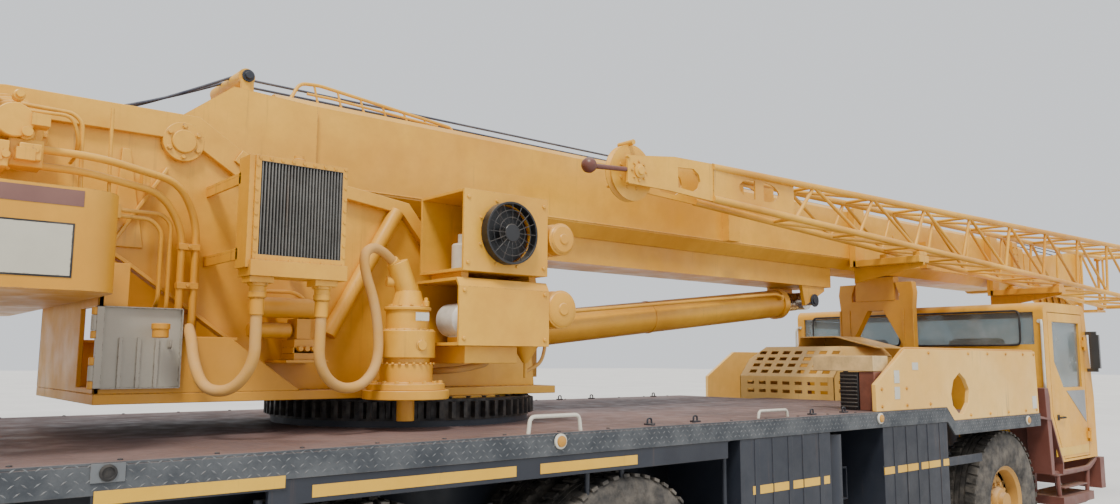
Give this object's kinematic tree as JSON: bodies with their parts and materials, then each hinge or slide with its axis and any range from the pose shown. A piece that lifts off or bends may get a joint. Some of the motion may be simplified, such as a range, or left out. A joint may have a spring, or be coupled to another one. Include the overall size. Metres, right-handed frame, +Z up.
{
  "type": "mobile crane",
  "caption": "Three-axle truck crane with a telescopic boom, a side-stowed lattice jib, outriggers and a slewing upper deck.",
  "frame": {"origin": "on the ground, at the bottom centre of the whole crane's box", "axes": "+X towards the carrier cab and boom head, +Y to the left, +Z up"},
  "size_m": [11.87, 2.65, 2.9899],
  "materials": {
    "ochre": "worn gloss paint with rust streaks",
    "deck": "dusty worn paint",
    "dark": "dusty dark paint",
    "black_steel": "greasy black",
    "tyre": "matt rubber",
    "glass": "tinted, dusty",
    "seat": "worn vinyl",
    "lamp": "clear and red lenses",
    "fan": "matt",
    "bright_rod": "polished rod",
    "bumper": "worn red-brown paint",
    "cabinet": "dull grey paint"
  },
  "bodies": {
    "carrier": {"chassis_frame": "dark", "deck": "deck", "side_boxes": "dark", "slew_ring": "black_steel", "axles_and_springs": "dark", "carrier_cab": "ochre", "carrier_cab_glass": "glass", "carrier_cab_fittings": "seat", "engine_block": "dark", "engine_cover": "ochre", "side_panels": "ochre", "boom_rest": "ochre", "bumper_and_steps": "bumper", "lamps_and_mirrors": "lamp"},
    "superstructure": {"turntable": "ochre", "counterweight": "ochre", "winches": "ochre", "swing_drive": "ochre", "oil_cooler": "ochre", "equipment_boxes": "ochre", "hydraulic_pipes": "ochre", "operator_cab": "ochre", "operator_cab_glass": "glass", "operator_cab_fittings": "seat"},
    "cooler_fan": {"cooler_fan": "fan"},
    "operator_door": {"operator_door": "ochre"},
    "cabinet_door": {"cabinet_door": "cabinet"},
    "boom_base": {"boom_base": "ochre"},
    "lift_barrel": {"lift_barrel": "ochre"},
    "lift_rod": {"lift_rod": "bright_rod"},
    "boom_second": {"boom_second": "ochre"},
    "boom_third": {"boom_third": "ochre"},
    "boom_head": {"boom_head": "ochre"},
    "lattice_jib": {"lattice_jib": "ochre"},
    "hook_block": {"hook_block": "ochre"},
    "knuckle_right": {"knuckle_right": "dark"},
    "wheel_front_right": {"wheel_front_right": "tyre"},
    "wheel_middle_right": {"wheel_middle_right": "tyre"},
    "wheel_rear_right": {"wheel_rear_right": "tyre"},
    "carrier_door_right": {"carrier_door_right": "ochre", "carrier_door_glass_right": "glass"},
    "knuckle_left": {"knuckle_left": "dark"},
    "wheel_front_left": {"wheel_front_left": "tyre"},
    "wheel_middle_left": {"wheel_middle_left": "tyre"},
    "wheel_rear_left": {"wheel_rear_left": "tyre"},
    "carrier_door_left": {"carrier_door_left": "ochre", "carrier_door_glass_left": "glass"},
    "outrigger_beam_front_right": {"outrigger_beam_front_right": "dark"},
    "outrigger_jack_front_right": {"outrigger_jack_front_right": "dark"},
    "outrigger_beam_front_left": {"outrigger_beam_front_left": "dark"},
    "outrigger_jack_front_left": {"outrigger_jack_front_left": "dark"},
    "outrigger_beam_rear_right": {"outrigger_beam_rear_right": "dark"},
    "outrigger_jack_rear_right": {"outrigger_jack_rear_right": "dark"},
    "outrigger_beam_rear_left": {"outrigger_beam_rear_left": "dark"},
    "outrigger_jack_rear_left": {"outrigger_jack_rear_left": "dark"}
  },
  "joints": [
    {"name": "slew", "type": "hinge", "parent": "carrier", "child": "superstructure", "pos_m": [-3.47, 0, 1.43], "axis": [0, 0, 1], "continuous": true},
    {"name": "cooler_fan_spin", "type": "hinge", "parent": "superstructure", "child": "cooler_fan", "pos_m": [-3.476, -0.925, 2.208], "axis": [0, 1, 0], "continuous": true},
    {"name": "operator_door_hinge", "type": "hinge", "parent": "superstructure", "child": "operator_door", "pos_m": [-3.41, 1.254, 2], "axis": [0, 0, 1], "range_deg": [0, 80]},
    {"name": "cabinet_door_hinge", "type": "hinge", "parent": "superstructure", "child": "cabinet_door", "pos_m": [-5.134, -0.574, 1.65], "axis": [0, 0, -1], "range_deg": [0, 270]},
    {"name": "boom_luff", "type": "hinge", "parent": "superstructure", "child": "boom_base", "pos_m": [-4.82, 0, 2.522], "axis": [0, -1, 0], "range_deg": [0, 80]},
    {"name": "lift_barrel_turn", "type": "hinge", "parent": "superstructure", "child": "lift_barrel", "pos_m": [-3.07, 0, 1.75], "axis": [0, -1, 0], "range_deg": [0, 88.61]},
    {"name": "lift_rod_slide", "type": "slide", "parent": "lift_barrel", "child": "lift_rod", "axis": [0.9943, 0, 0.1071], "range_m": [0, 2.3753]},
    {"name": "boom_second_slide", "type": "slide", "parent": "boom_base", "child": "boom_second", "axis": [1, 0, 0], "range_m": [0, 6]},
    {"name": "boom_third_slide", "type": "slide", "parent": "boom_second", "child": "boom_third", "axis": [1, 0, 0], "range_m": [0, 6]},
    {"name": "boom_head_slide", "type": "slide", "parent": "boom_third", "child": "boom_head", "axis": [1, 0, 0], "range_m": [0, 6]},
    {"name": "jib_swing", "type": "hinge", "parent": "boom_head", "child": "lattice_jib", "pos_m": [5.88, -0.35, 2.565], "axis": [0, 0, 1], "range_deg": [0, 180]},
    {"name": "hook_block_swing", "type": "hinge", "parent": "boom_head", "child": "hook_block", "pos_m": [5.58, 0, 2.42], "axis": [0, 1, 0], "range_deg": [-2, 82]},
    {"name": "steer_right", "type": "hinge", "parent": "carrier", "child": "knuckle_right", "pos_m": [1.18, -0.855, 0.542], "axis": [0, 0, 1], "range_deg": [-32, 32]},
    {"name": "wheel_front_right_spin", "type": "hinge", "parent": "knuckle_right", "child": "wheel_front_right", "pos_m": [1.18, -1.045, 0.542], "axis": [0, 1, 0], "continuous": true},
    {"name": "wheel_middle_right_spin", "type": "hinge", "parent": "carrier", "child": "wheel_middle_right", "pos_m": [-2.94, -0.918, 0.542], "axis": [0, 1, 0], "continuous": true},
    {"name": "wheel_rear_right_spin", "type": "hinge", "parent": "carrier", "child": "wheel_rear_right", "pos_m": [-4.29, -0.918, 0.542], "axis": [0, 1, 0], "continuous": true},
    {"name": "carrier_door_right_hinge", "type": "hinge", "parent": "carrier", "child": "carrier_door_right", "pos_m": [2.77, -1.229, 1.4], "axis": [0, 0, 1], "range_deg": [0, 70]},
    {"name": "steer_left", "type": "hinge", "parent": "carrier", "child": "knuckle_left", "pos_m": [1.18, 0.855, 0.542], "axis": [0, 0, 1], "range_deg": [-32, 32]},
    {"name": "wheel_front_left_spin", "type": "hinge", "parent": "knuckle_left", "child": "wheel_front_left", "pos_m": [1.18, 1.045, 0.542], "axis": [0, 1, 0], "continuous": true},
    {"name": "wheel_middle_left_spin", "type": "hinge", "parent": "carrier", "child": "wheel_middle_left", "pos_m": [-2.94, 0.918, 0.542], "axis": [0, 1, 0], "continuous": true},
    {"name": "wheel_rear_left_spin", "type": "hinge", "parent": "carrier", "child": "wheel_rear_left", "pos_m": [-4.29, 0.918, 0.542], "axis": [0, 1, 0], "continuous": true},
    {"name": "carrier_door_left_hinge", "type": "hinge", "parent": "carrier", "child": "carrier_door_left", "pos_m": [2.77, 1.229, 1.4], "axis": [0, 0, -1], "range_deg": [0, 70]},
    {"name": "outrigger_front_right_out", "type": "slide", "parent": "carrier", "child": "outrigger_beam_front_right", "axis": [0, -1, 0], "range_m": [0, 1.3]},
    {"name": "outrigger_front_right_down", "type": "slide", "parent": "outrigger_beam_front_right", "child": "outrigger_jack_front_right", "axis": [0, 0, -1], "range_m": [0, 0.45]},
    {"name": "outrigger_front_left_out", "type": "slide", "parent": "carrier", "child": "outrigger_beam_front_left", "axis": [0, 1, 0], "range_m": [0, 1.3]},
    {"name": "outrigger_front_left_down", "type": "slide", "parent": "outrigger_beam_front_left", "child": "outrigger_jack_front_left", "axis": [0, 0, -1], "range_m": [0, 0.45]},
    {"name": "outrigger_rear_right_out", "type": "slide", "parent": "carrier", "child": "outrigger_beam_rear_right", "axis": [0, -1, 0], "range_m": [0, 1.3]},
    {"name": "outrigger_rear_right_down", "type": "slide", "parent": "outrigger_beam_rear_right", "child": "outrigger_jack_rear_right", "axis": [0, 0, -1], "range_m": [0, 0.45]},
    {"name": "outrigger_rear_left_out", "type": "slide", "parent": "carrier", "child": "outrigger_beam_rear_left", "axis": [0, 1, 0], "range_m": [0, 1.3]},
    {"name": "outrigger_rear_left_down", "type": "slide", "parent": "outrigger_beam_rear_left", "child": "outrigger_jack_rear_left", "axis": [0, 0, -1], "range_m": [0, 0.45]}
  ],
  "couplings": [
    {"joint": "lift_barrel_turn", "follows": "boom_luff", "ratio": 1.1074},
    {"joint": "lift_rod_slide", "follows": "boom_luff", "m_per_rad": 1.6997},
    {"joint": "boom_third_slide", "follows": "boom_second_slide", "ratio": 1},
    {"joint": "boom_head_slide", "follows": "boom_second_slide", "ratio": 1},
    {"joint": "hook_block_swing", "follows": "boom_luff", "ratio": 1},
    {"joint": "steer_left", "follows": "steer_right", "ratio": 1}
  ]
}
